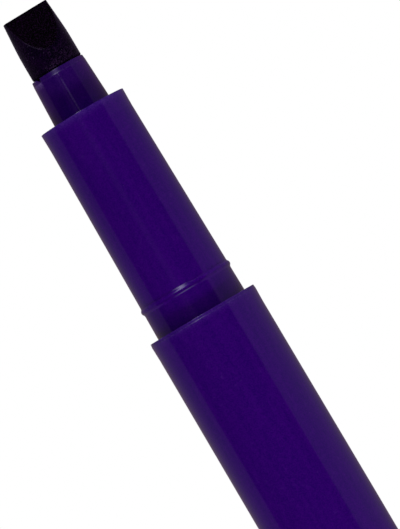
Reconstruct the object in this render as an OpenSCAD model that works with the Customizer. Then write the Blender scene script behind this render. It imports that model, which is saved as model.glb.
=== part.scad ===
// Calligraphy pen with a felt chisel nib, nib up, standing on the cap that is posted on its rear.
// Millimetres. Z is the axis of the pen, the origin is the centre of the flat crown of the cap.
// The front is -Y: one ground face of the nib looks that way.

/* [Nib] */
// Length of the writing edge
nib_edge_length = 5; // [4:0.1:5.4]
// Thickness of the writing edge
nib_edge_thickness = 1.3; // [0.5:0.1:2]
// Diameter of the head below its ground faces
nib_head_diameter = 5.6; // [5.5:0.02:5.7]
// Head that stands out of the neck
nib_head_length = 6.64; // [5:0.02:8]
// Length of the two ground faces, measured along the axis
nib_face_length = 4.35; // [3:0.05:4.8]
// Turn of the writing edge about the axis, in degrees
nib_turn = 10; // [-20:1:20]
// Diameter of the stem inside the neck
nib_stem_diameter = 4; // [3.4:0.1:4.2]
// Stem that dips into the ink core
nib_dip_length = 9; // [6:0.5:12]
// Length of the stem's pointed end
nib_point_length = 3; // [2:0.5:4]
// Diameter of the stem at its point
nib_point_diameter = 1.4; // [0.8:0.1:2]

/* [Front section] */
// Length of the neck that holds the nib
neck_length = 5.07; // [4:0.01:6]
// Diameter of the neck at its lip
neck_lip_diameter = 5.98; // [5.88:0.02:6.1]
// Diameter of the neck where it leaves the section
neck_base_diameter = 6.38; // [6.16:0.02:6.6]
// Height of the bevel round the lip
lip_bevel_height = 0.45; // [0.2:0.05:0.8]
// Width of the bevel round the lip
lip_bevel_width = 0.04; // [0.02:0.01:0.1]
// Width of the air notches in the lip
notch_width = 0.7; // [0.5:0.05:1.2]
// Depth of the air notches, measured down from the lip
notch_depth = 0.35; // [0.2:0.05:0.6]
// Place of the first air notch, in degrees from the front
notch_angle = -50; // [-90:1:-30]
// Depth of the air grooves along the nib's stem
air_groove_depth = 0.35; // [0.2:0.05:0.45]
// Width of the mould line on the neck
mould_line_width = 0.2; // [0.1:0.05:0.4]
// Height of the mould line on the neck
mould_line_height = 0.06; // [0.03:0.01:0.1]
// Length of the section from the barrel to the neck
section_length = 23.8; // [18:0.1:30]
// Diameter of the section where it meets the neck
section_front_diameter = 9.46; // [9.2:0.02:9.8]
// Diameter of the section where it meets the barrel
section_base_diameter = 10.06; // [9.9:0.02:10.1]
// Widening of the section's front edge, in diameter
section_flare = 0.08; // [0.02:0.02:0.12]
// Distance of the snap ring from the barrel
ring_distance = 3.2; // [2:0.1:6]
// Width of the snap ring, measured along the axis
ring_width = 0.7; // [0.6:0.05:1]
// Height of the snap ring
ring_height = 0.16; // [0.1:0.01:0.2]
// Length of the skirt that is pressed into the barrel
skirt_length = 10; // [6:0.5:14]
// Thickness of the wall between the ink core and the neck
front_wall = 3; // [1.5:0.1:4]

/* [Barrel] */
// Length of the barrel
barrel_length = 84; // [70:1:100]
// Diameter of the straight rear stretch
barrel_diameter = 12.2; // [12.12:0.02:12.6]
// Diameter just behind the mouth
barrel_front_diameter = 12.09; // [11.8:0.01:12.1]
// Length of the tapered front stretch
barrel_taper_length = 24; // [20:1:45]
// Widening of the mouth, in diameter
barrel_flare = 0.08; // [0.02:0.02:0.1]
// Diameter of the bore
barrel_bore_diameter = 9.4; // [9.2:0.05:9.6]
// Number of ribs that hold the ink core in the bore
rib_count = 6; // [3:1:8]
// Thickness of each rib
rib_thickness = 0.8; // [0.5:0.1:1.2]

/* [Ink core] */
// Diameter of the fibre core
core_diameter = 7; // [6:0.1:7.4]
// Thickness of the film round the core
wrap_thickness = 0.12; // [0.08:0.01:0.2]

/* [Tail plug] */
// Length of the plug inside the barrel
plug_depth = 9; // [6:0.5:14]
// Length of the post that carries the cap
post_length = 13; // [10:0.5:15]
// Diameter of the hollow in the plug
plug_hollow_diameter = 5.8; // [4:0.1:5.8]
// Thickness of the closed end of the post
post_end = 1.4; // [1:0.1:2]

/* [Cap] */
// Thickness of the crown
crown_thickness = 1.4; // [1.2:0.1:2]
// Diameter of the cap at the crown
crown_diameter = 12; // [11.6:0.05:12.1]
// Bevel round the crown
crown_bevel = 0.3; // [0.2:0.05:0.6]
// Room between the capped nib and the end of the liner
nib_room = 2.19; // [1.5:0.01:4]
// Number of air vents in the crown
vent_count = 3; // [2:1:3]
// Diameter of the air vents
vent_diameter = 1.1; // [0.8:0.1:1.2]
// Room between the section and the bore of the cap, on each side
cap_play = 0.08; // [0.07:0.01:0.12]
// Room between the snap ring and its groove, on each side
groove_play = 0.06; // [0.03:0.01:0.1]
// Room between the capped neck and the liner, on each side
liner_play = 0.06; // [0.04:0.01:0.12]
// Thickness of the liner's wall
liner_wall = 0.8; // [0.6:0.05:1]
// Thickness of the liner's closed end
liner_end = 0.9; // [0.6:0.1:1.4]
// Width of the ribs that hold the liner
liner_rib_width = 1.2; // [0.8:0.1:1.6]

/* [Clip] */
// Length of the clip
clip_length = 31; // [20:1:34]
// Width of the clip
clip_width = 4.4; // [3:0.1:5]
// Thickness of the clip
clip_thickness = 1.1; // [0.8:0.1:1.6]
// Gap between the clip and the cap
clip_gap = 1; // [0.8:0.1:1.6]
// Height of the bridge that carries the clip
clip_bridge = 4; // [3:0.5:6]
// Gap between the clip's ball and the cap
ball_gap = 0.2; // [0.1:0.05:0.4]

/* [Fits] */
// Room round pressed and held pieces, on each side
snug = 0.01; // [0.01:0.005:0.02]
// Room between the cap and its post, on each side
slide_play = 0.05; // [0.03:0.01:0.06]

/* [Hidden] */
$fn = 96;

// Overlap of pieces that are joined, and run-out of cuts
eps = 0.2;

// Colours
purple = [0.20, 0.04, 0.40];
ink_black = [0.06, 0.03, 0.08];
film = [0.80, 0.78, 0.84];
ink_soaked = [0.16, 0.06, 0.26];
liner_white = [0.90, 0.89, 0.92];

// Levels along the axis, from the crown up to the writing edge
cap_length = crown_thickness + liner_end + nib_room + nib_head_length + neck_length + section_length;
tail_z = cap_length;
rim_z = tail_z + barrel_length;
shoulder_z = rim_z + section_length;
lip_z = shoulder_z + neck_length;
tip_z = lip_z + nib_head_length;
core_top_z = shoulder_z - front_wall;
core_bottom_z = tail_z + plug_depth;
skirt_z = rim_z - skirt_length;
ring_z = rim_z + ring_distance;

// Radii of the nib and of the neck
head_r = nib_head_diameter / 2;
stem_r = nib_stem_diameter / 2;
edge_r = nib_edge_length / 2;
lip_r = neck_lip_diameter / 2;
lip_top_r = lip_r - lip_bevel_width;
neck_base_r = neck_base_diameter / 2;
point_r = nib_point_diameter / 2;

// Radii of the section and the barrel
bore_r = barrel_bore_diameter / 2;
section_front_r = section_front_diameter / 2;
section_base_r = section_base_diameter / 2;
core_r = core_diameter / 2;
wrap_r = core_r + snug + wrap_thickness;
cavity_r = wrap_r + snug;
barrel_r = barrel_diameter / 2;
barrel_front_r = barrel_front_diameter / 2;
mouth_r = barrel_front_r + barrel_flare / 2;
edge_bevel = 0.15;
mouth_bevel_width = 0.05;
mouth_bevel_height = 0.3;
flare_length = 1.9;

// The snap ring is a round bead of which only a low arc stands out of the section
ring_bead_r = (pow(ring_width / 2, 2) + pow(ring_height, 2)) / (2 * ring_height);
ring_share = ring_distance / section_length;
ring_section_r = section_base_r + (section_front_r - section_base_r) * ring_share;
ring_r = ring_section_r + ring_height;

// Radii of the cap, its groove and the post
cap_bore_r = section_base_r + cap_play;
ring_groove_r = ring_r + groove_play;
ring_groove_width = ring_width + 2 * groove_play;
lead_in = 0.3;
post_r = cap_bore_r - slide_play;
hollow_r = plug_hollow_diameter / 2;
plug_slot_count = 4;
plug_slot_width = 1;
plug_slot_depth = 1;
crown_r = crown_diameter / 2;

// Sizes of the liner and the vents
liner_mouth_room = 0.3;
liner_bore_r = neck_base_r + liner_play;
liner_r = liner_bore_r + liner_wall;
liner_rib_count = 2 * vent_count;
liner_top_z = cap_length - section_length - liner_mouth_room;
vent_r = vent_diameter / 2;
vent_place_r = cap_bore_r - vent_r - snug;

// Sizes of the clip
clip_r = barrel_r + clip_gap;
clip_outer_r = clip_r + clip_thickness;
clip_bottom_z = crown_bevel + eps;
clip_top_z = clip_bottom_z + clip_length;
ball_r = clip_width / 5;
ball_z = clip_top_z - clip_width / 2;
cap_r_at_ball = crown_r + (barrel_r - crown_r) * ball_z / cap_length;

// Turns its child from the front to the angle, seen with the front towards the viewer
module at_angle(angle) {
    rotate([0, 0, angle - 90])
        children();
}

// Bar on the front side of the axis, between two radii and two levels, turned to the angle
module radial_bar(angle, inner, outer, bottom, top, width) {
    at_angle(angle)
        translate([inner, -width / 2, bottom])
            cube([outer - inner, width, top - bottom]);
}

// Straight round rod on the axis
module rod(radius, bottom, top) {
    translate([0, 0, bottom])
        cylinder(r = radius, h = top - bottom);
}

// Round rod on the axis that tapers from one radius to the other
module taper(bottom_radius, top_radius, bottom, top) {
    translate([0, 0, bottom])
        cylinder(r1 = bottom_radius, r2 = top_radius, h = top - bottom);
}

// Stem of the nib with its pointed end, with room added on all sides
module nib_stem(room) {
    stem_bottom_z = core_top_z - nib_dip_length;
    point_top_z = stem_bottom_z + nib_point_length;
    rod(stem_r + room, point_top_z, lip_z + eps);
    taper(point_r + room, stem_r + room, stem_bottom_z - room, point_top_z);
}

// Wedge that grinds one face of the nib, on the front side
module face_cut() {
    half_edge = nib_edge_thickness / 2;
    run_out = (head_r - half_edge) / nib_face_length;
    rotate([90, 0, 90])
        linear_extrude(height = 4 * head_r, center = true)
            polygon([
                [-head_r - eps * run_out, tip_z - nib_face_length - eps],
                [-half_edge + eps * run_out, tip_z + eps],
                [-2 * head_r, tip_z + eps],
                [-2 * head_r, tip_z - nib_face_length - eps]
            ]);
}

module nib() {
    color(ink_black)
        union() {
            difference() {
                union() {
                    rod(head_r, lip_z, tip_z - nib_face_length);
                    taper(head_r, edge_r, tip_z - nib_face_length, tip_z);
                }
                for (turn = [0, 180])
                    rotate([0, 0, nib_turn + turn])
                        face_cut();
            }
            nib_stem(0);
        }
}

module front_section() {
    flare_z = shoulder_z - flare_length;
    bevel_z = lip_z - lip_bevel_height;
    groove_r = stem_r + air_groove_depth;
    color(purple)
        difference() {
            union() {
                rod(bore_r - snug, skirt_z, rim_z + eps);
                taper(section_base_r, section_front_r, rim_z, flare_z);
                taper(section_front_r, section_front_r + section_flare / 2, flare_z, shoulder_z);
                taper(neck_base_r, lip_r, shoulder_z - eps, bevel_z);
                taper(lip_r, lip_top_r, bevel_z, lip_z);
                snap_ring();
                mould_line();
            }
            rod(cavity_r, skirt_z - eps, core_top_z);
            rod(stem_r + snug, core_top_z - eps, lip_z + eps);
            for (turn = [0, 180]) {
                radial_bar(notch_angle + turn, 0, barrel_r, lip_z - notch_depth, lip_z + eps, notch_width);
                radial_bar(notch_angle + turn, 0, groove_r, core_top_z - eps, lip_z, notch_width);
            }
        }
}

module snap_ring() {
    rotate_extrude()
        translate([ring_r - ring_bead_r, ring_z])
            circle(r = ring_bead_r);
}

module mould_line() {
    mould_line_angle = -2.5;
    line_top_z = lip_z - 2 * lip_bevel_height;
    line_bottom_z = shoulder_z - eps;
    intersection() {
        taper(neck_base_r + mould_line_height, lip_r + mould_line_height, line_bottom_z, lip_z);
        radial_bar(mould_line_angle, stem_r + eps, barrel_r, line_bottom_z, line_top_z, mould_line_width);
    }
}

module barrel() {
    color(purple)
        difference() {
            union() {
                taper(barrel_r - edge_bevel, barrel_r, tail_z, tail_z + edge_bevel);
                rod(barrel_r, tail_z + edge_bevel, rim_z - barrel_taper_length);
                taper(barrel_r, barrel_front_r, rim_z - barrel_taper_length, rim_z - flare_length);
                taper(barrel_front_r, mouth_r, rim_z - flare_length, rim_z - mouth_bevel_height);
                taper(mouth_r, mouth_r - mouth_bevel_width, rim_z - mouth_bevel_height, rim_z);
            }
            difference() {
                rod(bore_r, tail_z - eps, rim_z + eps);
                for (index = [0 : rib_count - 1])
                    radial_bar(
                        index * 360 / rib_count, cavity_r, barrel_r,
                        core_bottom_z + eps, skirt_z - eps, rib_thickness
                    );
            }
        }
}

module ink_core() {
    color(ink_soaked)
        difference() {
            rod(core_r, core_bottom_z, core_top_z);
            nib_stem(snug);
        }
}

module core_wrap() {
    color(film)
        difference() {
            rod(wrap_r, core_bottom_z, core_top_z);
            rod(core_r + snug, core_bottom_z - eps, core_top_z + eps);
        }
}

module tail_plug() {
    post_bottom_z = tail_z - post_length;
    post_bevel = 2 * edge_bevel;
    color(purple)
        difference() {
            union() {
                taper(post_r - post_bevel, post_r, post_bottom_z, post_bottom_z + post_bevel);
                rod(post_r, post_bottom_z + post_bevel, tail_z);
                rod(bore_r - snug, tail_z - eps, core_bottom_z);
            }
            rod(hollow_r, post_bottom_z + post_end, core_bottom_z + eps);
            for (index = [0 : plug_slot_count - 1])
                radial_bar(
                    index * 360 / plug_slot_count, 0, barrel_r,
                    core_bottom_z - plug_slot_depth, core_bottom_z + eps, plug_slot_width
                );
        }
}

module cap_shell() {
    ring_groove_z = cap_length - ring_distance - ring_groove_width / 2;
    color(purple)
        difference() {
            union() {
                taper(crown_r - crown_bevel, crown_r, 0, crown_bevel);
                taper(crown_r, barrel_r, crown_bevel, cap_length);
                clip();
            }
            rod(cap_bore_r, crown_thickness, cap_length + eps);
            rod(ring_groove_r, ring_groove_z, ring_groove_z + ring_groove_width);
            taper(cap_bore_r, cap_bore_r + lead_in, cap_length - lead_in, cap_length);
            for (index = [0 : vent_count - 1])
                at_angle((index + 0.25) * 360 / vent_count)
                    translate([vent_place_r, 0, -eps])
                        cylinder(r = vent_r, h = crown_thickness + 2 * eps);
        }
}

// Pocket clip on the front of the cap: a curved arm on a bridge, with a ball at its free end
module clip() {
    intersection() {
        difference() {
            rod(clip_outer_r, clip_bottom_z, clip_top_z);
            rod(clip_r, clip_bottom_z - eps, clip_top_z + eps);
        }
        clip_outline();
    }
    radial_bar(0, crown_r - 2 * eps, clip_r + eps, clip_bottom_z, clip_bottom_z + clip_bridge, clip_width);
    at_angle(0)
        translate([cap_r_at_ball + ball_gap + ball_r, 0, ball_z])
            sphere(r = ball_r);
}

// Outline of the clip seen from the front, with a round free end
module clip_outline() {
    round_r = clip_width / 2;
    rotate([90, 0, 0])
        linear_extrude(height = clip_outer_r + eps)
            union() {
                translate([-round_r, clip_bottom_z])
                    square([clip_width, clip_length - round_r]);
                translate([0, clip_top_z - round_r])
                    circle(r = round_r);
            }
}

module cap_liner() {
    color(liner_white)
        difference() {
            union() {
                rod(liner_r, crown_thickness, liner_top_z);
                intersection() {
                    rod(cap_bore_r - snug, crown_thickness, liner_top_z);
                    for (index = [0 : liner_rib_count - 1])
                        radial_bar(
                            index * 360 / liner_rib_count, 0, barrel_r,
                            crown_thickness, liner_top_z, liner_rib_width
                        );
                }
            }
            rod(liner_bore_r, crown_thickness + liner_end, liner_top_z + eps);
        }
}

barrel();
front_section();
nib();
ink_core();
core_wrap();
tail_plug();
cap_shell();
cap_liner();
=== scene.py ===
# %% [markdown]
# # A calligraphy pen with a felt chisel nib
#
# The pen stands nib up on its cap, which is posted on the rear. The solids of the pen are loaded first,
# as a fixed frame: every piece made below goes where its solid is, in metres, with Z along the pen.

# %% Load the pen
import bmesh
import bpy
import math
from mathutils import Matrix, Vector


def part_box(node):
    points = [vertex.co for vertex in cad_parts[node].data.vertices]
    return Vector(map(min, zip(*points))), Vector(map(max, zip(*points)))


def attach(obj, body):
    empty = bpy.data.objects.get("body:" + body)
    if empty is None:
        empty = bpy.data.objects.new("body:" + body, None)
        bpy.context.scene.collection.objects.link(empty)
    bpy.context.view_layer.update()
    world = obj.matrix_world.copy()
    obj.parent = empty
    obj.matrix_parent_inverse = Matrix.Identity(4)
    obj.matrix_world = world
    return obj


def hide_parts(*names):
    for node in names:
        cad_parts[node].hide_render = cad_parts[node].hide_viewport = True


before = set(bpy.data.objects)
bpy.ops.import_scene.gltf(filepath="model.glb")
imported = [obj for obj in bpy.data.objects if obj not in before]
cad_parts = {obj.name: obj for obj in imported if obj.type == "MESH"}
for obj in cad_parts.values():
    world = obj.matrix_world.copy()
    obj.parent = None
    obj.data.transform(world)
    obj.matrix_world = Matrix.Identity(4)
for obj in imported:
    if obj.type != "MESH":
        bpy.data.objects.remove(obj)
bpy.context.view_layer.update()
mm = 0.001
print("solids:", ", ".join(sorted(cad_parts)))

# %% [markdown]
# ## Levels along the pen
#
# A turned object is described by heights on its axis and radii around it. The heights that a solid
# ends at are read from its box, so that they can't drift from the frame. The steps inside a piece,
# such as the shoulder of the section, are given as lengths from those.

# %% Levels and radii
crown_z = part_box("cap_shell")[0].z
tail_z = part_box("barrel")[0].z
rim_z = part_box("barrel")[1].z
lip_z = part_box("front_section")[1].z
tip_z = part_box("nib")[1].z
skirt_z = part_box("front_section")[0].z
core_top_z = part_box("ink_core")[1].z
core_bottom_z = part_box("ink_core")[0].z
stem_end_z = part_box("nib")[0].z
post_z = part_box("tail_plug")[0].z
neck_length = 5.07 * mm
shoulder_z = lip_z - neck_length
barrel_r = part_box("barrel")[1].x
bore_r = 4.7 * mm
print("levels in mm:", [round(z / mm, 2) for z in (tail_z, rim_z, shoulder_z, lip_z, tip_z)])

# %% [markdown]
# ## Camera
#
# The photograph looks at the front third of the pen from about 0.6 m, square to its axis, and the pen
# leans to the left in the frame. The pen stays upright here, so the camera is rolled instead: its right
# and up directions are mixed from the pen's own directions by the angle of the lean. The long lens keeps
# the perspective as flat as in the photograph.

# %% Camera
photo_height_px = 529
pixel_size = 0.1012 * mm
camera_distance = 600 * mm
camera_drop = 7.5 * mm
lean = math.radians(30.54)
aim_aside = 2.41 * mm
aim_above_rim = 4.45 * mm

aim = Vector((aim_aside, 0, rim_z + aim_above_rim))
eye = aim + Vector((0, -camera_distance, -camera_drop))
back = (eye - aim).normalized()
level_right = Vector((1, 0, 0))
level_up = back.cross(level_right)
right = level_right * math.cos(lean) - level_up * math.sin(lean)
up = level_right * math.sin(lean) + level_up * math.cos(lean)

camera_data = bpy.data.cameras.new("camera")
camera_data.sensor_width = 36
camera_data.lens = camera_data.sensor_width * camera_distance / (photo_height_px * pixel_size)
camera_data.clip_start = 10 * mm
camera_data.clip_end = 20
camera = bpy.data.objects.new("camera", camera_data)
camera.matrix_world = Matrix.Translation(eye) @ Matrix((right, up, back)).transposed().to_4x4()
bpy.context.scene.collection.objects.link(camera)
bpy.context.scene.camera = camera
print("lens in mm:", round(camera_data.lens, 1))

# %% [markdown]
# ## Turning a piece
#
# Moulded pen parts are round, so they are made as on a lathe: half of the cut-open piece is drawn as a
# closed row of corners and spun about the axis. A corner is a radius, a height and a rounding, and a
# rounded corner becomes a short arc that touches both of its walls. Smooth shading would bend the long
# walls near the small roundings, so each long wall gets an extra point close to both of its ends, which
# holds it straight in the reflections. Only an eighth of a turn is spun. It is copied and turned three
# times to close the circle, which is much quicker than a full spin.

# %% Outlines
arc_step = math.radians(7)
hold = 0.04 * mm


def rounded(corners):
    """The outline through corners of (radius, height, rounding), with an arc at each rounded corner."""
    outline = []
    for before, corner, after in zip(corners[-1:] + corners[:-1], corners, corners[1:] + corners[:1]):
        place = Vector(corner[:2])
        rounding = corner[2]
        if rounding == 0:
            outline.append(place)
            continue
        back_way = (Vector(before[:2]) - place).normalized()
        way_on = (Vector(after[:2]) - place).normalized()
        half_angle = back_way.angle(way_on) / 2
        centre = place + (back_way + way_on).normalized() * rounding / math.sin(half_angle)
        first = place + back_way * rounding / math.tan(half_angle) - centre
        last = place + way_on * rounding / math.tan(half_angle) - centre
        steps = max(2, round(first.angle(last) / arc_step))
        outline += [centre + first.slerp(last, step / steps) * rounding for step in range(steps + 1)]
    return outline


def held(outline):
    """The outline with a point near both ends of each long wall that isn't on the axis."""
    points = []
    for first, last in zip(outline, outline[1:] + outline[:1]):
        points.append(first)
        wall = last - first
        if wall.length > 4 * hold and max(first.x, last.x) > 0:
            step = wall.normalized() * hold
            points += [first + step, last - step]
    return points


# %% Lathe
weld_distance = 0.0005 * mm
doublings = 3


def turned(corners, segments):
    """A body turned about the axis from a closed row of (radius, height, rounding) corners."""
    body = bmesh.new()
    verts = [body.verts.new((0, -radius, height)) for radius, height in held(rounded(corners))]
    pairs = zip(verts, verts[1:] + verts[:1])
    edges = [body.edges.new((first, last)) for first, last in pairs if min(first.co.y, last.co.y) < 0]
    turn = math.tau / 2**doublings
    steps = segments // 2**doublings
    bmesh.ops.spin(body, geom=verts + edges, axis=(0, 0, 1), angle=turn, steps=steps)
    for _ in range(doublings):
        first_count = len(body.verts)
        bmesh.ops.duplicate(body, geom=body.verts[:] + body.edges[:] + body.faces[:])
        bmesh.ops.rotate(body, verts=body.verts[first_count:], matrix=Matrix.Rotation(turn, 3, "Z"))
        turn *= 2
    bmesh.ops.remove_doubles(body, verts=body.verts, dist=weld_distance)
    bmesh.ops.recalc_face_normals(body, faces=body.faces)
    return body


# %% [markdown]
# ## From a body to a piece
#
# A body becomes an object whose place is in its mesh, and it takes over from the solid that it stands for.
# Faces that shrank to nothing are dissolved first. All faces are shaded smooth, and the edges that turn by
# more than a set angle stay crisp.

# %% Objects and pieces
crisp_angle = math.radians(50)


def as_object(body, name):
    """Puts a body in the scene as an object."""
    mesh = bpy.data.meshes.new(name)
    body.to_mesh(mesh)
    body.free()
    made = bpy.data.objects.new(name, mesh)
    bpy.context.scene.collection.objects.link(made)
    return made


def finished(body, name, node, rides_on):
    """Makes the object of a body, which stands for a solid and moves with its part of the pen."""
    bmesh.ops.dissolve_degenerate(body, dist=weld_distance, edges=body.edges)
    for edge in body.edges:
        edge.smooth = len(edge.link_faces) == 2 and edge.calc_face_angle() < crisp_angle
    for face in body.faces:
        face.smooth = True
    made = as_object(body, name)
    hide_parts(node)
    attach(made, rides_on)
    print(name, "has", len(made.data.polygons), "faces")
    return made


# %% [markdown]
# ## Bars and Booleans
#
# Ribs, slots, vents and the clip aren't round about the axis, so no lathe makes them. They start as bars,
# cylinders or a ball that a Boolean modifier joins to a turned body or cuts from it. The Manifold solver
# is quick and keeps closed bodies closed.

# %% Bar and Boolean helpers


def bar(low, high, turn=0.0):
    """A plain bar between two corners, turned about the axis."""
    body = bmesh.new()
    bmesh.ops.create_cube(body, size=1)
    size = Vector(high) - Vector(low)
    bmesh.ops.scale(body, vec=size, verts=body.verts)
    bmesh.ops.translate(body, vec=Vector(low) + size / 2, verts=body.verts)
    bmesh.ops.rotate(body, verts=body.verts, matrix=Matrix.Rotation(turn, 3, "Z"))
    return body


def combined(body, others, operation):
    """Joins closed bodies to a body, or cuts them from it."""
    base = as_object(body, "base")
    for other in others:
        step = base.modifiers.new("step", "BOOLEAN")
        step.object = as_object(other, "other")
        step.operation = operation
        step.solver = "MANIFOLD"
    mesh = bpy.data.meshes.new_from_object(base.evaluated_get(bpy.context.evaluated_depsgraph_get()))
    for step in base.modifiers:
        bpy.data.objects.remove(step.object)
    bpy.data.objects.remove(base)
    made = bmesh.new()
    made.from_mesh(mesh)
    return made


# %% [markdown]
# ## Barrel
#
# The barrel is a moulded tube. It widens very slightly towards the rear, and its mouth flares by a few
# hundredths of a millimetre. The rim has a small rounding, then a narrow band and a fine step where the
# mould closed, and each of them catches a thin line of light. A row of corners gives these small steps,
# which a plain cylinder lacks. Ribs inside hold the ink core in the middle of the bore.

# %% Barrel
mouth_r = 6.085 * mm
throat_r = 6.045 * mm
flare_length = 1.9 * mm
taper_length = 24 * mm
rim_round = 0.04 * mm
rim_band = 0.3 * mm
rim_band_lean = 0.036 * mm
rim_step = 0.035 * mm
rim_step_lean = 0.014 * mm
tail_round = 0.15 * mm
barrel_segments = 192

band_r = mouth_r - rim_step_lean
barrel_corners = [
    (bore_r, tail_z, 0),
    (barrel_r, tail_z, tail_round),
    (barrel_r, rim_z - taper_length, 0),
    (throat_r, rim_z - flare_length, 0),
    (mouth_r, rim_z - rim_band - rim_step, 0),
    (band_r, rim_z - rim_band, 0),
    (band_r - rim_band_lean, rim_z, rim_round),
    (bore_r, rim_z, 0),
]
barrel_body = turned(barrel_corners, barrel_segments)
print("the rim takes", round((rim_band + rim_step) / mm, 3), "mm of the barrel")

# %% Ribs in the barrel
rib_count = 6
rib_thickness = 0.8 * mm
rib_inner_r = 3.64 * mm
end_room = 0.2 * mm

ribs = [
    bar(
        (-rib_thickness / 2, -bore_r - end_room, core_bottom_z + end_room),
        (rib_thickness / 2, -rib_inner_r, skirt_z - end_room),
        index * math.tau / rib_count,
    )
    for index in range(rib_count)
]
barrel_body = combined(barrel_body, ribs, "UNION")
barrel = finished(barrel_body, "barrel_tube", "barrel", "pen")

# %% [markdown]
# ## Front section
#
# The section, its neck and the snap ring are one moulding. The ring is a low round bead with soft feet,
# the shoulder is a sharp step, and the neck ends in a lip with a narrow band round it, a hair below the
# felt. Air grooves along the nib are cut with a bar. Two details follow the round wall: the air notches in
# the lip, and the thin line where the two halves of the mould met. They are made on the turned body by
# moving vertices, so it is turned with many segments. The section was pressed in a few hundredths of a
# millimetre to the left, and its outer wall is moved by that much.

# %% Section outline
section_base_r = 5.065 * mm
section_front_r = 4.75 * mm
section_edge_r = 4.785 * mm
section_flare = 1.9 * mm
shoulder_round = 0.035 * mm
ring_z = rim_z + 3.14 * mm
ring_height = 0.175 * mm
ring_half_width = 0.38 * mm
ring_slope = math.radians(35)
ring_foot_round = 0.33 * mm
neck_base_r = 3.19 * mm
neck_fillet = 0.12 * mm
neck_top_r = 2.995 * mm
lip_band = 0.47 * mm
lip_step = 0.03 * mm
lip_step_lean = 0.01 * mm
lip_top_r = 2.941 * mm
lip_gap = 0.035 * mm
lip_round = 0.05 * mm
mould_line_end = 0.95 * mm
stem_hole_r = 2.01 * mm
cavity_r = 3.66 * mm
snug = 0.01 * mm
skirt_r = bore_r - snug
section_segments = 640

ring_share = (ring_z - rim_z) / (shoulder_z - section_flare - rim_z)
ring_wall_r = section_base_r + (section_front_r - section_base_r) * ring_share
ring_peak = ring_half_width * math.tan(ring_slope)
ring_round = (ring_peak - ring_height) / (1 / math.cos(ring_slope) - 1)
band_z = lip_z - lip_band
line_end_share = (lip_z - mould_line_end - shoulder_z) / (band_z - shoulder_z)
line_end_r = neck_base_r + (neck_top_r - neck_base_r) * line_end_share

section_corners = [
    (cavity_r, skirt_z, 0),
    (skirt_r, skirt_z, 0),
    (skirt_r, rim_z, 0),
    (section_base_r, rim_z, 0),
    (ring_wall_r, ring_z - ring_half_width, ring_foot_round),
    (ring_wall_r + ring_peak, ring_z, ring_round),
    (ring_wall_r, ring_z + ring_half_width, ring_foot_round),
    (section_front_r, shoulder_z - section_flare, 0),
    (section_edge_r, shoulder_z, shoulder_round),
    (neck_base_r, shoulder_z, neck_fillet),
    (line_end_r, lip_z - mould_line_end, 0),
    (neck_top_r, band_z - lip_step, 0),
    (neck_top_r - lip_step_lean, band_z, 0),
    (lip_top_r, lip_z - lip_gap, lip_round),
    (stem_hole_r, lip_z - lip_gap, 0),
    (stem_hole_r, core_top_z, 0),
    (cavity_r, core_top_z, 0),
]
section_body = turned(section_corners, section_segments)
print("the ring stands out by", round(ring_height / mm, 3), "mm")

# %% Air grooves along the nib
air_groove_r = 2.35 * mm
air_groove_width = 0.7 * mm
air_groove_angle = math.radians(-50)

groove = bar(
    (-air_groove_width / 2, -air_groove_r, core_top_z - end_room),
    (air_groove_width / 2, air_groove_r, lip_z + end_room),
    air_groove_angle,
)
section_body = combined(section_body, [groove], "DIFFERENCE")
print("air grooves in mm:", round((air_groove_r - stem_hole_r) / mm, 2), "deep")

# %% Notches and mould line
notch_depth = 0.38 * mm
notch_steep_side = math.radians(-43.5)
notch_floor = math.radians(3)
notch_sloped_side = math.radians(-58)
mould_line = math.radians(-2.5)
mould_line_width = 0.1 * mm
mould_line_height = 0.05 * mm
line_top_z = band_z - lip_step - lip_band / 2
section_shift = -0.045 * mm


def angle_from_front(place):
    """Angle about the pen, from the front towards the right."""
    return math.atan2(place.x, -place.y)


def notch_share(angle):
    """How deep the notch is at an angle: a steep side, a narrow floor and a sloped side."""
    slope = (angle - notch_sloped_side) / (notch_steep_side - notch_floor - notch_sloped_side)
    return min(max(slope, 0), 1) if angle < notch_steep_side else 0


for vert in section_body.verts:
    angle = angle_from_front(vert.co)
    depth = max(notch_share(angle), notch_share(angle - math.pi), notch_share(angle + math.pi))
    vert.co.z = min(vert.co.z, lip_z - notch_depth * depth)
    wall_r = vert.co.xy.length
    on_neck = shoulder_z + neck_fillet / 2 < vert.co.z < line_top_z
    if on_neck and wall_r > lip_top_r:
        off_line = (angle - mould_line) * wall_r / mould_line_width
        vert.co.xy *= 1 + mould_line_height * math.exp(-off_line * off_line) / wall_r
    inner_r = skirt_r if vert.co.z < ring_z else neck_base_r
    on_grip = rim_z - hold / 2 < vert.co.z < shoulder_z + hold / 2
    if on_grip and wall_r > inner_r + neck_fillet:
        vert.co.x += section_shift

section = finished(section_body, "grip_section", "front_section", "pen")

# %% [markdown]
# ## Nib
#
# The nib is a felt rod with a slightly tapered head. Two flat faces are ground on it until they nearly
# meet, which leaves a round U on each face and a blunt writing edge, cut a little off square. Plane cuts
# through a turned rod give just that, and the rod starts a little too long, so that the first cut meets
# plain walls. Felt has no sharp corners, so the ground edges are bevelled. The shortest edge limits a
# bevel, so short edges along the cuts are welded before it. The head sits a little off the axis.

# %% Nib rod
head_r = 2.8 * mm
edge_r = 2.525 * mm
head_bow = 25 * mm
head_taper = 3.75 * mm
stem_r = 2.0 * mm
point_r = 0.7 * mm
point_length = 3 * mm
nib_base_round = 0.18 * mm
spare = 0.5 * mm
nib_segments = 96

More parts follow.
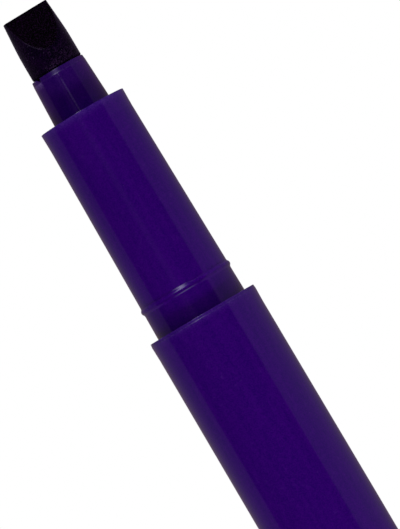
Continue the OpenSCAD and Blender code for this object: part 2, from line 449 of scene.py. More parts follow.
spare_r = edge_r - spare * (head_r - edge_r) / head_taper
nib_corners = [
    (0, stem_end_z, 0),
    (point_r, stem_end_z, 0),
    (stem_r, stem_end_z + point_length, 0),
    (stem_r, lip_z, 0),
    (head_r, lip_z, nib_base_round),
    (head_r, tip_z - head_taper, head_bow),
    (spare_r, tip_z + spare, 0),
    (0, tip_z + spare, 0),
]
nib_body = turned(nib_corners, nib_segments)
print("nib rod in mm:", round((tip_z + spare - stem_end_z) / mm, 2))

# %% Ground faces
face_length = 4.35 * mm
half_edge = 0.65 * mm
nib_turn = math.radians(10)
edge_slope = math.radians(1.5)


def cut_nib(point, normal):
    """Cuts away what lies outside a plane and closes the cut."""
    bmesh.ops.bisect_plane(
        nib_body, geom=nib_body.verts[:] + nib_body.edges[:] + nib_body.faces[:],
        plane_co=point, plane_no=normal, clear_outer=True,
    )
    bmesh.ops.holes_fill(nib_body, edges=[edge for edge in nib_body.edges if edge.is_boundary])


cut_nib(Vector((edge_r, 0, tip_z)), Vector((-math.sin(edge_slope), 0, math.cos(edge_slope))))
for turn in (nib_turn, nib_turn + math.pi):
    about_axis = Matrix.Rotation(turn, 3, "Z")
    cut_nib(
        about_axis @ Vector((0, -half_edge, tip_z)),
        about_axis @ Vector((0, -face_length, head_r - half_edge)),
    )
print("writing edge in mm:", 2 * round(half_edge / mm, 2), "thick")

# %% Rounded felt edges
felt_round = 0.06 * mm
shortest_edge = 0.1 * mm
ground_angle = math.radians(12)
lip_room = 1 * mm
head_shift = 0.06 * mm


def is_ground(edge):
    """Whether an edge of the head was left by a cut."""
    above_lip = min(vert.co.z for vert in edge.verts) > lip_z + lip_room
    return above_lip and edge.is_manifold and edge.calc_face_angle() > ground_angle


def in_order(verts):
    """Each vertex once, in the order of their places, so that every run welds alike."""
    return sorted(set(verts), key=lambda vert: vert.co[:])


def ground_rim():
    """The edges that the cuts left on the head, and the vertices on them."""
    edges = [edge for edge in nib_body.edges if is_ground(edge)]
    return edges, in_order(vert for edge in edges for vert in edge.verts)


bmesh.ops.remove_doubles(nib_body, verts=ground_rim()[1], dist=shortest_edge)
rim_verts = ground_rim()[1]
beside = [edge.other_vert(vert) for vert in rim_verts for edge in vert.link_edges]
close = bmesh.ops.find_doubles(
    nib_body, verts=in_order(rim_verts + beside), keep_verts=rim_verts, dist=shortest_edge
)
bmesh.ops.weld_verts(nib_body, targetmap=close["targetmap"])
bmesh.ops.bevel(
    nib_body, geom=ground_rim()[0], offset=felt_round, offset_type="OFFSET",
    segments=3, profile=0.5, affect="EDGES", material=-1, clamp_overlap=True,
)
for vert in nib_body.verts:
    if vert.co.z > lip_z - hold:
        vert.co.x += head_shift
nib = finished(nib_body, "chisel_nib", "nib", "pen")

# %% [markdown]
# ## Cap
#
# The cap is a deep cup with a rounded crown, a bore with a groove for the snap ring, and a springy clip.
# The cup is turned, and the vents in the crown are cut with round cutters, since air has to get through a
# cap that may be swallowed. The clip is a bar that is cut into narrow strips, bent round the cap and
# rounded at its free end, where a ball presses on the pocket.

# %% Cap cup
crown_r = 6.0 * mm
crown_round = 0.4 * mm
crown_thickness = 1.4 * mm
cap_bore_r = 5.11 * mm
mouth_round = 0.12 * mm
lead_in = 0.3 * mm
groove_z = tail_z - 3.2 * mm
groove_half_width = 0.41 * mm
groove_r = 5.21 * mm
cap_segments = 192

cap_corners = [
    (0, crown_z, 0),
    (crown_r, crown_z, crown_round),
    (barrel_r, tail_z, mouth_round),
    (cap_bore_r + lead_in, tail_z, 0),
    (cap_bore_r, tail_z - lead_in, 0),
    (cap_bore_r, groove_z + groove_half_width, 0),
    (groove_r, groove_z + groove_half_width, 0),
    (groove_r, groove_z - groove_half_width, 0),
    (cap_bore_r, groove_z - groove_half_width, 0),
    (cap_bore_r, crown_z + crown_thickness, 0),
    (0, crown_z + crown_thickness, 0),
]
cap_body = turned(cap_corners, cap_segments)
print("cap in mm:", round((tail_z - crown_z) / mm, 2), "long")

# %% Clip
clip_width = 4.4 * mm
clip_inner_r = 7.1 * mm
clip_thickness = 1.1 * mm
clip_bottom_z = crown_z + 0.5 * mm
clip_length = 31 * mm
clip_bridge = 4 * mm
clip_edge = 0.25 * mm
clip_strips = 12
flat_enough = 0.999
bridge_root = 0.4 * mm
ball_r = 0.88 * mm
ball_gap = 0.2 * mm


def rounded_bar(low, high, rounding):
    """A bar between two corners with all its edges rounded."""
    body = bar(low, high)
    bmesh.ops.bevel(
        body, geom=body.edges[:], offset=rounding, offset_type="OFFSET",
        segments=3, profile=0.5, affect="EDGES", material=-1, clamp_overlap=True,
    )
    body.normal_update()
    flats = [face for face in body.faces if max(abs(part) for part in face.normal) > flat_enough]
    bmesh.ops.inset_individual(body, faces=flats, thickness=hold)
    return body


clip_top_z = clip_bottom_z + clip_length
arm = rounded_bar(
    (-clip_width / 2, -clip_inner_r - clip_thickness, clip_bottom_z),
    (clip_width / 2, -clip_inner_r, clip_top_z),
    clip_edge,
)
for cut in range(1, clip_strips):
    cut_x = clip_width * (cut / clip_strips - 0.5)
    bmesh.ops.bisect_plane(
        arm, geom=arm.verts[:] + arm.edges[:] + arm.faces[:], plane_co=(cut_x, 0, 0), plane_no=(1, 0, 0)
    )
for vert in arm.verts:
    reach = -vert.co.y
    turn = vert.co.x / (clip_inner_r + clip_thickness / 2)
    top_round = clip_width / 2 - math.sqrt(max((clip_width / 2) ** 2 - vert.co.x**2, 0))
    if vert.co.z > clip_top_z - clip_width:
        vert.co.z -= top_round
    vert.co.x = reach * math.sin(turn)
    vert.co.y = -reach * math.cos(turn)

bridge = rounded_bar(
    (-clip_width / 2, -clip_inner_r - clip_thickness / 2, clip_bottom_z),
    (clip_width / 2, -crown_r + bridge_root, clip_bottom_z + clip_bridge),
    clip_edge,
)
ball_z = clip_top_z - clip_width / 2
ball_y = -crown_r - (barrel_r - crown_r) * ball_z / tail_z - ball_gap - ball_r
ball = bmesh.new()
bmesh.ops.create_uvsphere(
    ball, u_segments=32, v_segments=16, radius=ball_r, matrix=Matrix.Translation((0, ball_y, ball_z))
)
cap_body = combined(cap_body, [arm, bridge, ball], "UNION")
print("clip in mm:", round(clip_length / mm, 2), "long")

# %% Vents in the crown
vent_count = 3
vent_r = 0.55 * mm
vent_place_r = 4.55 * mm
vent_start = math.radians(30)
vent_middle_z = crown_z + crown_thickness / 2

cutter_body = bmesh.new()
for index in range(vent_count):
    angle = vent_start + index * math.tau / vent_count
    place = Vector((vent_place_r * math.sin(angle), -vent_place_r * math.cos(angle), vent_middle_z))
    bmesh.ops.create_cone(
        cutter_body, cap_ends=True, segments=32, radius1=vent_r, radius2=vent_r,
        depth=2 * crown_thickness, matrix=Matrix.Translation(place),
    )
cap_body = combined(cap_body, [cutter_body], "DIFFERENCE")
cap = finished(cap_body, "clip_cap", "cap_shell", "cap")

# %% [markdown]
# ## Tail plug
#
# The plug closes the barrel and carries the post that the cap sits on. It only shows when the pen is
# drawn out of the cap. Its end is rounded so that the cap finds it easily. Slots across its inner end
# let air reach the ink core, and two crossed bars cut all four of them.

# %% Tail plug
post_r = 5.06 * mm
post_round = 0.5 * mm
post_end = 1.4 * mm
hollow_r = 2.9 * mm
plug_segments = 128

plug_corners = [
    (0, post_z, 0),
    (post_r, post_z, post_round),
    (post_r, tail_z, 0),
    (skirt_r, tail_z, 0),
    (skirt_r, core_bottom_z, 0),
    (hollow_r, core_bottom_z, 0),
    (hollow_r, post_z + post_end, 0),
    (0, post_z + post_end, 0),
]
plug_body = turned(plug_corners, plug_segments)
print("post in mm:", round((tail_z - post_z) / mm, 2), "long")

# %% Slots in the plug
plug_slot_width = 1 * mm
plug_slot_depth = 1 * mm

slots = [
    bar(
        (-plug_slot_width / 2, -barrel_r, core_bottom_z - plug_slot_depth),
        (plug_slot_width / 2, barrel_r, core_bottom_z + end_room),
        turn,
    )
    for turn in (0, math.pi / 2)
]
plug_body = combined(plug_body, slots, "DIFFERENCE")
plug = finished(plug_body, "tail_post", "tail_plug", "pen")

# %% [markdown]
# ## Shader sums
#
# A finish is a small sum of patterns. The class below wraps one output of a shader node, so that a sum or
# a product written in Python adds the Math nodes for it. Every other node comes from its one node method.

# %% Wire class


class Wire:
    """One output of a node in a material, on which plain maths works."""

    def __init__(self, tree, socket=None):
        self.tree = tree
        self.socket = socket

    def node(self, kind, settings=None, inputs=None, output=0):
        """A new node of a kind, with its settings first and then the values or wires of its sockets."""
        made = self.tree.nodes.new(kind)
        for name, value in (settings or {}).items():
            setattr(made, name, value)
        for name, value in (inputs or {}).items():
            if isinstance(value, Wire):
                self.tree.links.new(value.socket, made.inputs[name])
            else:
                made.inputs[name].default_value = value
        return Wire(self.tree, made.outputs[output] if made.outputs else None)

    def maths(self, operation, first, second=0.0):
        """A Math node on one or two values or wires."""
        return self.node("ShaderNodeMath", {"operation": operation}, {0: first, 1: second})

    def __add__(self, other):
        return self.maths("ADD", self, other)

    __radd__ = __add__

    def __sub__(self, other):
        return self.maths("SUBTRACT", self, other)

    def __rsub__(self, other):
        return self.maths("SUBTRACT", other, self)

    def __mul__(self, other):
        return self.maths("MULTIPLY", self, other)

    __rmul__ = __mul__

    def __truediv__(self, other):
        return self.maths("DIVIDE", self, other)

    def __rtruediv__(self, other):
        return self.maths("DIVIDE", other, self)

    def __abs__(self):
        return self.maths("ABSOLUTE", self)

    def __pow__(self, other):
        return self.maths("POWER", self, other)

    def between(self, low, high, start=0.0, end=1.0):
        """A smooth step from start at low to end at high."""
        return self.node(
            "ShaderNodeMapRange", {"interpolation_type": "SMOOTHSTEP"},
            {"Value": self, "From Min": low, "From Max": high, "To Min": start, "To Max": end},
        )

    def fading(self, low, high):
        """A smooth step from 1 at low to 0 at high."""
        return self.between(low, high, 1.0, 0.0)


# %% [markdown]
# ## Pattern helpers
#
# All the patterns read Object coordinates. The pieces sit at the origin, so those are the pen's own
# metres, and a pattern keeps its real size on every piece. A Mapping node stretches a noise along the
# pen where the real mark is drawn out, as flow lines in a moulding are.

# %% Pattern helpers


def new_material(name):
    """A new material, and the wire of its Object coordinates."""
    material = bpy.data.materials.new(name)
    material.use_nodes = True
    material.node_tree.nodes.clear()
    return material, Wire(material.node_tree).node("ShaderNodeTexCoord", output="Object")


def along(place, axis):
    """How far a place lies along the X, Y or Z axis."""
    return place.node("ShaderNodeSeparateXYZ", inputs={"Vector": place}, output=axis)


def grain(place, size, stretch=(1, 1, 1), detail=2.0, roughness=0.5):
    """Noise from 0 to 1 whose grains are about the given size, stretched along an axis."""
    scale = [1 / (size * part) for part in stretch]
    moved = place.node("ShaderNodeMapping", inputs={"Vector": place, "Scale": scale})
    return place.node(
        "ShaderNodeTexNoise", {"noise_dimensions": "3D"},
        {"Vector": moved, "Scale": 1.0, "Detail": detail, "Roughness": roughness},
    )


def mixed(share, first, second):
    """The first colour, with a share of the second mixed in."""
    return share.node("ShaderNodeMix", {"data_type": "RGBA"}, {0: share, 6: first, 7: second}, output=2)


def tinted(colour, tint):
    """A colour times a tint."""
    settings = {"data_type": "RGBA", "blend_type": "MULTIPLY"}
    return colour.node("ShaderNodeMix", settings, {0: 1.0, 6: colour, 7: tint}, output=2)


def surfaced(material, inputs, bump_height, bump_distance):
    """Joins a Principled shader with a bump to the material's output."""
    bump_inputs = {"Height": bump_height, "Strength": 1.0, "Distance": bump_distance}
    bump = bump_height.node("ShaderNodeBump", inputs=bump_inputs)
    shader = bump.node("ShaderNodeBsdfPrincipled", inputs={**inputs, "Normal": bump})
    shader.node("ShaderNodeOutputMaterial", inputs={"Surface": shader})
    return material


def dress(piece, material):
    """Puts one material on all of a piece."""
    piece.data.materials.clear()
    piece.data.materials.append(material)
    print(piece.name, "wears", material.name)


# %% [markdown]
# ## Purple plastic
#
# The barrel, section, cap and plug are glossy moulded plastic, coloured through. Close up it isn't even:
# the pigment is streaked along the flow of the mould, fine dust sits on it and the gloss is a little
# uneven. Each of these is a noise at its real size. Light comes through the thin edges of the rims, and
# the colour there is painted a little paler for it, as painted light. A thin painted highlight lies along
# the fine step of the barrel's rim, uneven with the mottle. Both follow the height along the pen. One
# function makes the finish of all four pieces.

# %% Purple tones and grains
purple = (0.0228, 0.0003, 0.1105, 1)
# painted light near the thin edge of a rim
edge_painted_light = (0.0360, 0.0085, 0.1400, 1)
# painted highlight along the fine step of the barrel's rim
line_painted_highlight = (0.0480, 0.0200, 0.1500, 1)
dust_tint = (0.0600, 0.0300, 0.1500, 1)
dark_tone = (0.6, 0.3, 0.82, 1)
light_tone = (1.4, 1.7, 1.18, 1)
edge_glow = 1.5 * mm
# width and share of the painted highlight lines
highlight_line_width = 0.07 * mm
highlight_line_share = 0.6
streak_width = 0.6 * mm
streak_stretch = 14
streak_share = 0.2
mottle_size = 0.4 * mm
mottle_share = 0.2
fine_size = 0.13 * mm
fine_share = 0.6
speck_size = 0.15 * mm
speck_share = 0.3
cloud_size = 2.2 * mm
cloud_stretch = 3
cloud_share = 0.12
least_roughness = 0.08
ripple_depth = 0.002 * mm
plastic_ior = 1.49
print("streaks in mm:", round(streak_width * streak_stretch / mm, 2), "long")

# %% Purple plastic


def near_level(height, level, width):
    """1 at a level along the pen, and 0 further from it than a width."""
    return abs(height - level).fading(0, width)


def purple_plastic(name, edge_z=None, edge_share=0.0, highlight_z=0.0, on_top=None):
    """Purple plastic with painted light below an edge and a painted highlight line, and a finish on top.
    """
    material, place = new_material(name)
    streaks = grain(place, streak_width, stretch=(1, 1, streak_stretch), detail=3)
    mottle = grain(place, mottle_size, detail=4, roughness=0.6)
    fine = grain(place, fine_size, detail=1)
    cloud = grain(place, cloud_size, stretch=(1, 1, cloud_stretch), detail=2)
    specks = grain(place, speck_size, detail=1).between(0.72, 0.82)
    dust = specks * speck_share + mottle.between(0.55, 0.8) * cloud.between(0.4, 0.7) * cloud_share
    colour = mixed(dust, purple, dust_tint)
    height = along(place, "Z")
    if edge_z is not None:
        # painted light: the colour grows paler towards the thin edge
        glow = height.between(edge_z - edge_glow, edge_z) ** 3 * edge_share
        # painted highlight: a thin pale line at a given height, uneven with the mottle
        line_highlight = near_level(height, highlight_z, highlight_line_width) * mottle.between(0.3, 0.6, 0.4, 1.0)
        colour = mixed(glow, colour, edge_painted_light)
        colour = mixed(line_highlight * highlight_line_share, colour, line_painted_highlight)
    if on_top is not None:
        colour = on_top(place, colour)
    tone = streaks.between(0.35, 0.65) * streak_share + mottle.between(0.3, 0.7) * mottle_share
    tone = tone + fine.between(0.3, 0.7) * fine_share
    colour = tinted(colour, mixed(tone, dark_tone, light_tone))
    gloss = mottle * 0.05 + specks * 0.15 + least_roughness
    return surfaced(
        material,
        {"Base Color": colour, "Roughness": gloss, "IOR": plastic_ior},
        bump_height=mottle * 0.6 + streaks * 0.4, bump_distance=ripple_depth,
    )


# the painted highlight lies on the fine step of the barrel's rim
rim_highlight_z = rim_z - rim_band - rim_step / 2
dress(barrel, purple_plastic("barrel_purple", edge_z=rim_z, edge_share=0.7, highlight_z=rim_highlight_z))
dress(cap, purple_plastic("cap_purple"))
dress(plug, purple_plastic("plug_purple"))

# %% [markdown]
# ## Neck and lip
#
# The neck is a thin wall over the black felt, so less light comes back from it than from the section.
# Painted shade on it is deepest a little above the shoulder, and painted light lifts its foot and its
# sides. The mould line, the edge of the lip and the lip's band get painted highlights, and a painted
# highlight runs up to the notch. The inside of the lip and the notches are painted nearly black, as
# painted shade. On a real ring, light that spreads inside the plastic evens out the shade, and here its
# upper slope gets painted light and its lower slope painted shade for that. All of these are plain
# functions of the place on the pen, so they need no image.

# %% Neck tones and places
# painted light and painted shade for the ring's upper and lower slopes
ring_painted_light = (0.0330, 0.0006, 0.1540, 1)
ring_painted_shade = (0.0165, 0.0001, 0.0800, 1)
ring_painted_tones = (
    (ring_z + ring_half_width / 2, ring_painted_light),
    (ring_z - ring_half_width / 2, ring_painted_shade),
)
ring_blend = 0.3 * mm
neck_purple = (0.0182, 0.0017, 0.0775, 1)
# painted shade a little above the shoulder, and painted light at the foot and on the sides of the neck
neck_painted_shade = (0.0155, 0.0001, 0.0770, 1)
neck_foot_painted_light = (0.0185, 0.0001, 0.0980, 1)
neck_side_painted_light = (0.0255, 0.0008, 0.0920, 1)
# painted highlight on the mould line, the lip's edge and the lip's band
painted_highlight_pale = (0.0460, 0.0220, 0.1150, 1)
# painted highlight below the lip, running up to the notch
notch_painted_highlight = (0.0850, 0.0420, 0.1750, 1)
# painted shade: nearly black in the gap inside the lip and in the notches
gap_painted_shade = (0.0012, 0.0004, 0.0040, 1)
# where the painted shade on the neck is deepest, and where it has faded out
neck_shade_z = shoulder_z + 1.9 * mm
neck_shade_end_z = lip_z - 1.5 * mm
neck_side_start = 1.6 * mm
neck_side_end = 2.8 * mm
mould_highlight_share = 0.7
line_width = 1.6 * mould_line_width
line_fade_z = lip_z - 0.9 * mould_line_end
line_full_z = lip_z - 1.7 * mould_line_end
lip_highlight_z = band_z - lip_step - highlight_line_width / 3
lip_highlight_share = 0.3
lip_band_highlight_share = 0.06
notch_highlight_x = 2.05 * mm
notch_highlight_fade = 0.12 * mm
notch_highlight_length = 0.8 * mm
notch_highlight_share = 0.8
gap_shade_depth = 0.04 * mm
level_step = 0.02 * mm
print("darkest level of the neck in mm:", round(neck_shade_z / mm, 2))

# %% Neck and lip


def off_axis(place):
    """Distance of a place from the axis of the pen."""
    flat = place.node("ShaderNodeVectorMath", {"operation": "MULTIPLY"}, {0: place, 1: (1, 1, 0)})
    return place.node("ShaderNodeVectorMath", {"operation": "LENGTH"}, {0: flat}, output="Value")


def neck_and_lip(place, colour):
    """Lays the painted light, shade and highlights of the ring, the neck and the lip over a colour."""
    height = along(place, "Z")
    on_neck = height.between(shoulder_z - level_step, shoulder_z + level_step)
    # painted shade, deepest a little above the shoulder, with painted light at the foot
    neck = mixed(height.between(shoulder_z, neck_shade_z), neck_foot_painted_light, neck_painted_shade)
    neck = mixed(height.between(neck_shade_z, neck_shade_end_z), neck, neck_purple)
    x = along(place, "X")
    y = along(place, "Y")
    # painted light on the sides of the neck
    aside = abs(x).between(neck_side_start, neck_side_end)
    neck = mixed(aside, neck, neck_side_painted_light)
    # painted highlights on the lip's edge, the lip's band and the mould line
    lip_highlight = near_level(height, lip_highlight_z, highlight_line_width)
    line = near_level(x, neck_top_r * math.sin(mould_line), line_width) * mould_highlight_share
    line = line * y.fading(-neck_top_r, 0)
    line = line * height.between(line_fade_z, line_full_z)
    on_lip = height.between(band_z - lip_step, band_z)
    neck = mixed(lip_highlight * lip_highlight_share + on_lip * lip_band_highlight_share + line, neck, painted_highlight_pale)
    # painted highlight on the front left of the neck, up to the notch
    notch_highlight = height.between(band_z - notch_highlight_length, band_z) * (1 - on_lip)
    notch_highlight = notch_highlight * x.fading(-notch_highlight_x - notch_highlight_fade, -notch_highlight_x + notch_highlight_fade)
    notch_highlight = notch_highlight * y.between(-neck_top_r / 2, 0, notch_highlight_share, 0.0)
    neck = mixed(notch_highlight, neck, notch_painted_highlight)
    # painted light on the ring's upper slope and painted shade on its lower slope
    for level, tone in ring_painted_tones:
        colour = mixed(near_level(height, level, ring_blend), colour, tone)
    colour = mixed(on_neck, colour, neck)
    # painted shade, nearly black, inside the lip and in the notches
    inside = off_axis(place).fading(lip_top_r - 2 * gap_shade_depth, lip_top_r - gap_shade_depth)
    return mixed(inside * on_neck, colour, gap_painted_shade)


dress(section, purple_plastic("section_purple", edge_z=shoulder_z, edge_share=0.9, on_top=neck_and_lip))

# %% [markdown]
# ## Felt of the nib
#
# The nib is pressed fibre soaked with nearly black violet ink. The ground faces are the darkest, with a
# fine even speckle. The round sides keep some violet and a coarser speckle, they are drier above the lip,
# they take the same lighter tone further out across the nib, and a rose foot shows next to the lip. The
# grinding has left paler fibres along the rim of the face. How far a place lies under the ground plane
# tells the face from the side. Sheen stands for the dry fuzz, which is lighter where it is seen edge on.

# %% Felt tones and places
face_black = (0.0001, 0.0001, 0.0002, 1)
face_speckle = (0.0120, 0.0024, 0.0158, 1)
side_black = (0.0004, 0.0001, 0.0022, 1)
side_violet = (0.0082, 0.0007, 0.0165, 1)
dry_black = (0.0004, 0.0001, 0.0020, 1)
dry_rose = (0.0165, 0.0055, 0.0250, 1)
pale_fibre = (0.0450, 0.0300, 0.0600, 1)
face_lean = math.atan2(head_r - half_edge, face_length)
face_edge = 0.03 * mm
frayed_rim = 0.16 * mm
frayed_across = (-0.9 * mm, -0.1 * mm)
frayed_rise = (tip_z - 3.8 * mm, tip_z - 1.4 * mm)
frayed_share = 0.8
fleck_share = 0.5
dry_rise = (lip_z + 0.8 * mm, lip_z + 2.6 * mm)
dry_across = (-1.2 * mm, 0.2 * mm)
outer_across = (1.7 * mm, 2.5 * mm)
outer_share = 0.6
foot_rise = (lip_z + 0.4 * mm, lip_z + 0.8 * mm)
foot_left = (-1.7 * mm, -1.2 * mm)
foot_right = (-0.2 * mm, 0.5 * mm)
fine_fibre = 0.105 * mm
coarse_fibre = 0.13 * mm
patch_size = 1.1 * mm
fleck_size = 0.16 * mm
felt_depth = 0.02 * mm
fuzz_tint = (0.85, 0.65, 0.95, 1)
print("lean of the ground faces in degrees:", round(math.degrees(face_lean), 1))

# %% Nib felt


def under_face(place):
    """How far a place lies under the nearer ground face, and its place across the nib."""
    turned_place = place.node(
        "ShaderNodeMapping",
        inputs={"Vector": place, "Location": (0, 0, -tip_z), "Rotation": (0, 0, -nib_turn)},
    )
    across, through, height = (along(turned_place, axis) for axis in "XYZ")
    depth = abs(through) - half_edge
    return 0 - depth * math.cos(face_lean) - height * math.sin(face_lean), across


def nib_felt():
    """Felt with dark ground faces, violet sides, a dry foot and pale fibres along the rim."""
    material, place = new_material("nib_felt")
    fine = grain(place, fine_fibre, detail=1)
    coarse = grain(place, coarse_fibre, stretch=(1, 1, 1.2), detail=2, roughness=0.6)
    patches = grain(place, patch_size, detail=1)
    flecks = grain(place, fleck_size, detail=0).between(0.76, 0.84)
    under, across = under_face(place)
    height = along(place, "Z")
    on_side = under.between(face_edge, 2 * face_edge)
    speckle = coarse.between(0.42, 0.7)
    face = mixed(fine.between(0.48, 0.7), face_black, face_speckle)
    side = mixed(speckle * 0.75 + patches.between(0.35, 0.65) * 0.25, side_black, side_violet)
    dry = mixed(speckle, dry_black, dry_rose)
    is_dry = height.fading(*dry_rise)
    is_dry = is_dry * across.between(*dry_across)
    # the lighter tone further out across the nib, towards both sides
    outer_tone = abs(across).between(*outer_across) * outer_share
    is_dry = is_dry.maths("MAXIMUM", is_dry, outer_tone)
    side = mixed(is_dry, side, dry)
    is_foot = height.fading(*foot_rise)
    is_foot = is_foot * across.between(*foot_left) * across.fading(*foot_right)
    side = mixed(is_foot * speckle.between(0.1, 0.6), side, dry_rose)
    colour = mixed(on_side, face, side)
    frayed = on_side * under.fading(face_edge, frayed_rim) * coarse.between(0.35, 0.6)
    frayed = frayed * across.fading(*frayed_across)
    frayed = frayed * height.between(*frayed_rise, 1.0, 0.25)
    pale = frayed * frayed_share + flecks * on_side * fleck_share
    colour = mixed(pale, colour, pale_fibre)
    return surfaced(
        material,
        {
            "Base Color": colour, "Roughness": fine * 0.15 + 0.8, "Specular IOR Level": 0.02,
            "Sheen Weight": 0.12, "Sheen Roughness": 0.3, "Sheen Tint": fuzz_tint,
        },
        bump_height=coarse * 0.6 + fine * 0.4, bump_distance=felt_depth,
    )


dress(nib, nib_felt())

# %% [markdown]
# ## Inner pieces
#
# The core, its film and the liner of the cap keep the shapes of their solids. They still get real
# finishes, since the liner shows in the mouth of the cap: ink-soaked fibre, a cloudy film, and a soft
# white plastic with faint flow marks. All three are streaks along the pen, so one function makes them.

# %% Inner finishes


def streaked(name, width, stretch, dark, light, roughness, bump):
    """A finish of streaks along the pen, from a dark to a light tone and over a range of roughness."""
    material, place = new_material(name)
    streaks = grain(place, width, stretch=(1, 1, stretch), detail=3)
    smooth, rough = roughness
    return surfaced(
        material,
        {"Base Color": mixed(streaks, dark, light), "Roughness": streaks * (rough - smooth) + smooth},
        streaks, bump,
    )


soaked_fibre = streaked(
    "soaked_fibre", width=0.12 * mm, stretch=20, dark=(0.012, 0.004, 0.03, 1), light=(0.05, 0.02, 0.10, 1),
    roughness=(0.7, 0.9), bump=0.03 * mm,
)
cloudy_film = streaked(
    "cloudy_film", width=2 * mm, stretch=6, dark=(0.50, 0.46, 0.58, 1), light=(0.68, 0.66, 0.72, 1),
    roughness=(0.25, 0.4), bump=0.02 * mm,
)
white_liner = streaked(
    "white_liner", width=0.8 * mm, stretch=5, dark=(0.70, 0.69, 0.73, 1), light=(0.80, 0.79, 0.82, 1),
    roughness=(0.4, 0.6), bump=0.01 * mm,
)
dress(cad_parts["ink_core"], soaked_fibre)
dress(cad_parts["core_wrap"], cloudy_film)
dress(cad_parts["cap_liner"], white_liner)

# %% [markdown]
# ## Floor and background
#
# The floor is a wide pale disc. Close to the pen it takes the shadow, and further out it fades into the
# white of the background, so no horizon shows. It casts no shadow, so that low lamps can light the pen
# through it, it is clear from below, and it isn't in the reflections, which come from a dome. The
# background is white for the camera and for reflections, and gives only a soft even light to the pen.

# %% Floor
floor_r = 3.0
floor_near = 0.06
floor_far = 0.6
near_share = 0.4
paper_grain = 1.5 * mm
paper_dark = (0.85, 0.82, 0.79, 1)
paper_light = (0.88, 0.85, 0.82, 1)
white = (1, 1, 1, 1)


def pale_floor():
    """Paper near the pen that fades into white, and nothing from below."""
    material, place = new_material("pale_floor")
    distance = place.node("ShaderNodeVectorMath", {"operation": "LENGTH"}, {0: place}, output="Value")
    seen = place.node("ShaderNodeLightPath", output="Is Camera Ray")
    paper = grain(place, paper_grain, detail=3)
    paper_colour = mixed(paper, paper_dark, paper_light)
    matt = place.node("ShaderNodeBsdfDiffuse", inputs={"Color": paper_colour})
    bright = place.node("ShaderNodeEmission", inputs={"Color": white, "Strength": 1.0})
    far = distance.between(floor_near, floor_far, near_share, 1.0) * seen
    top = place.node("ShaderNodeMixShader", inputs={0: far, 1: matt, 2: bright})
    clear = place.node("ShaderNodeBsdfTransparent")
    under = place.node("ShaderNodeNewGeometry", output="Backfacing")
    both = place.node("ShaderNodeMixShader", inputs={0: under, 1: top, 2: clear})
    place.node("ShaderNodeOutputMaterial", inputs={"Surface": both})
    return material


def stage_object(body, name, material):
    """An object of the studio, not of the pen."""
    made = as_object(body, name)
    made.data.materials.append(material)
    return made


floor_body = bmesh.new()
bmesh.ops.create_circle(floor_body, cap_ends=True, radius=floor_r, segments=96)
floor = stage_object(floor_body, "floor", pale_floor())
floor.visible_shadow = False
floor.visible_glossy = False
print("floor radius in m:", floor_r)

# %% Background
ambient = 0.24
cool_white = (0.84, 0.94, 1.14, 1)
world = bpy.data.worlds.new("studio")
world.use_nodes = True
world.node_tree.nodes.clear()
sky = Wire(world.node_tree)
shown = sky.node("ShaderNodeLightPath", output="Is Camera Ray")
for ray in ("Is Glossy Ray", "Is Transmission Ray"):
    shown = shown + sky.node("ShaderNodeLightPath", output=ray)
soft = sky.node("ShaderNodeBackground", inputs={"Color": cool_white, "Strength": ambient})
plain_white = sky.node("ShaderNodeBackground", inputs={"Color": white, "Strength": 1.0})
either = sky.node("ShaderNodeMixShader", inputs={0: shown, 1: soft, 2: plain_white})
sky.node("ShaderNodeOutputWorld", inputs={"Surface": either})
bpy.context.scene.world = world
print("light of the background:", ambient)

# %% [markdown]
# ## Reflections
#
# Glossy plastic shows the room more than the lamps. In the photograph the front of the pen mirrors
# darkness, with a dim warm wall on each side that fades with height, and a cool soft box above the nib
# that draws bright lines on the ring and the rims. Round the box lies a faint haze, under it a dim stand,
# and low in front a bright table. A light behind gives the back of the pen a line of its own. A dome that
# only reflections see holds these lights, given by their angle round the pen from the front and by their
# height, in degrees. Each range says where a light fades in or out.

# %% Lights of the dome
degree = 180 / math.pi
warm_wall = (1.0, 0.77, 0.70, 1)
cool_box = (0.87, 0.84, 1.0, 1)
wall_edge = 1.5
wall_foot = (2.6, 4.6)
left_wall_angle = -85
left_wall_far = -150
left_wall_rise = (20, 50)
right_wall_angle = 55
right_wall_far = 130
right_wall_rise = (25, 60)
box_left = (-42.5, -12.5)
box_right = (-11.5, 17.5)
box_rise = (10.5, 36)
haze_left = (-52, -22)
haze_right = (-4, 30)
haze_rise = (12, 30)
stand_left = (-25, -17)
stand_right = (-11, -4)
stand_rise = (1.3, 2.1)
table_left = (-60, -15)
table_right = (0, 55)
table_rise = (-66, -48)
ceiling_rise = (55, 70)
back_edge = (167, 173)
back_rise = (30, 60)
print("soft box from", box_left[0], "to", box_right[1], "degrees")

# %% Reflection dome
dome_r = 0.55
dome_centre = Vector((0, 0, rim_z))


def lit(below, share, colour, strength):
    """Lays a light over the lights below it, where its share says."""
    glow = share.node("ShaderNodeEmission", inputs={"Color": colour, "Strength": strength})
    return share.node("ShaderNodeMixShader", inputs={0: share, 1: below, 2: glow})


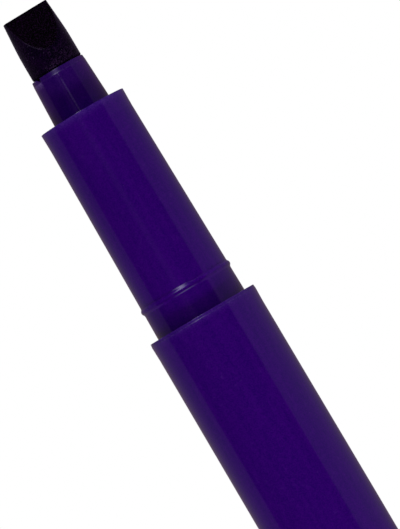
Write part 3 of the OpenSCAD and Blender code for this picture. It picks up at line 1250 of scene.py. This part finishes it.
def dome_light():
    """The lights that the plastic mirrors, laid over each other."""
    material, place = new_material("dome_light")
    x, y, z = (along(place, axis) for axis in "XYZ")
    angle = x.maths("ARCTAN2", x, 0 - y) * degree
    height = z.maths("ARCSINE", z / dome_r) * degree
    left_wall = angle.fading(left_wall_angle - wall_edge, left_wall_angle + wall_edge)
    left_wall = left_wall * angle.between(left_wall_far, left_wall_angle, 1.0, 0.55)
    left_wall = left_wall * height.between(*left_wall_rise, 1.0, 0.12)
    left_wall = left_wall * height.between(*wall_foot, 1.0, 0.85)
    right_wall = angle.between(right_wall_angle - wall_edge, right_wall_angle + wall_edge)
    right_wall = right_wall * angle.between(right_wall_angle, right_wall_far, 0.85, 1.15)
    right_wall = right_wall * height.between(*right_wall_rise, 1.0, 0.67)
    right_wall = right_wall * height.between(*wall_foot, 1.0, 0.75)
    soft_box = angle.between(*box_left) ** 2 * angle.fading(*box_right) ** 2
    soft_box = soft_box * height.between(*box_rise)
    haze = angle.between(*haze_left) * angle.fading(*haze_right) * height.between(*haze_rise)
    stand = angle.between(*stand_left) * angle.fading(*stand_right) * height.between(*stand_rise)
    table = angle.between(*table_left) * angle.fading(*table_right) * height.fading(*table_rise)
    ceiling = height.between(*ceiling_rise)
    back_box = abs(angle).between(*back_edge) * height.fading(*back_rise)
    light = place.node("ShaderNodeEmission", inputs={"Color": white, "Strength": 0.0})
    light = lit(light, left_wall, warm_wall, strength=0.225)
    light = lit(light, right_wall, warm_wall, strength=0.185)
    light = lit(light, ceiling, white, strength=0.06)
    light = lit(light, back_box, cool_box, strength=1.2)
    light = lit(light, table, cool_box, strength=1.35)
    light = lit(light, stand, warm_wall, strength=0.05)
    light = lit(light, haze, cool_box, strength=0.2)
    light = lit(light, soft_box, cool_box, strength=4.5)
    place.node("ShaderNodeOutputMaterial", inputs={"Surface": light})
    material.cycles.emission_sampling = "NONE"
    return material


dome_body = bmesh.new()
bmesh.ops.create_uvsphere(dome_body, u_segments=96, v_segments=48, radius=dome_r)
dome = stage_object(dome_body, "reflection_dome", dome_light())
dome.location = dome_centre
for kind in ("camera", "diffuse", "transmission", "volume_scatter", "shadow"):
    setattr(dome, "visible_" + kind, False)
print("dome radius in m:", dome_r)

# %% [markdown]
# ## Lamps
#
# Most of the light on the pen comes from low in front, as from a bright table, so each step of the pen
# shades the wall above it. Two lamps at the sides, which are less low, keep that look all round the pen,
# and a large one overhead lights the floor and draws a soft shadow. None of them shows in the plastic: the
# dome has the reflections.

# %% Lamps
lamp_distance = 1.3
low_height = -60
side_height = -35
top_height = 70


def lamp(name, angle, height, size, power):
    """A square lamp that looks at the rim of the barrel, placed by its angle and height in degrees."""
    turn = math.radians(angle)
    rise = math.radians(height)
    towards = Vector((math.sin(turn) * math.cos(rise), -math.cos(turn) * math.cos(rise), math.sin(rise)))
    data = bpy.data.lights.new(name, "AREA")
    data.shape = "SQUARE"
    data.size = size
    data.energy = power
    made = bpy.data.objects.new(name, data)
    made.location = dome_centre + towards * lamp_distance
    made.rotation_mode = "QUATERNION"
    made.rotation_quaternion = towards.to_track_quat("Z", "Y")
    bpy.context.scene.collection.objects.link(made)
    made.visible_camera = False
    made.visible_glossy = False
    return made


lamp("low_lamp_front", angle=6, height=low_height, size=0.4, power=16.2)
lamp("low_lamp_right", angle=126, height=side_height, size=0.7, power=5.3)
lamp("low_lamp_left", angle=-114, height=side_height, size=0.7, power=7.4)
lamp("top_lamp", angle=15, height=top_height, size=0.9, power=10.8)
print("lamps:", [item.name for item in bpy.data.lights])

# %% [markdown]
# ## View settings
#
# The colours are shown as they are written.

# %% View settings
bpy.context.scene.view_settings.view_transform = "Standard"
